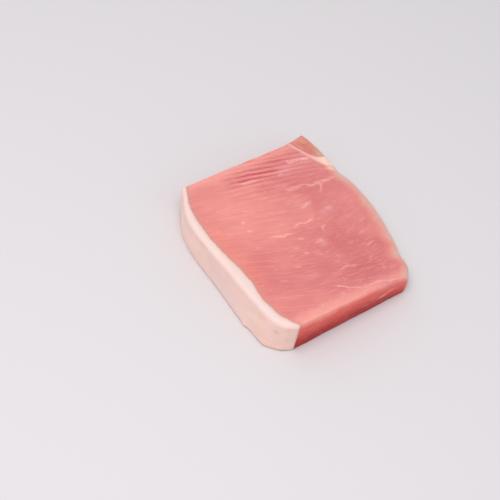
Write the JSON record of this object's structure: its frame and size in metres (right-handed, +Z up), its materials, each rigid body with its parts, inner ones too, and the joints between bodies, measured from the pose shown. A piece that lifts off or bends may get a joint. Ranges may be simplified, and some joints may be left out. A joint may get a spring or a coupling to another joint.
{
  "type": "raw pork loin slab",
  "caption": "Thick slab of raw pork loin cut along the grain, with its layer of back fat on one side and a seam of fat round a small muscle at a corner.",
  "frame": {"origin": "middle of the slab's footprint, on the surface that it lies on", "axes": "+X from the back fat to the loin's outer side, +Y along the back fat from the front cut to the rear cut, +Z up through the thickness"},
  "size_m": [0.119, 0.1214, 0.0215],
  "materials": {
    "lean_meat": "moist raw pork lean, satin, with fine pale fibres and thin marbling",
    "back_fat": "firm raw back fat, creamy pink, softly satin",
    "seam_fat": "soft seam fat, pale peach, satin",
    "side_muscle": "moist raw pork, a little browner than the main muscle, satin"
  },
  "bodies": {
    "root": {"lean": "lean_meat", "fat_cap": "back_fat", "seam_fat": "seam_fat", "rear_muscle": "side_muscle"}
  },
  "joints": []
}
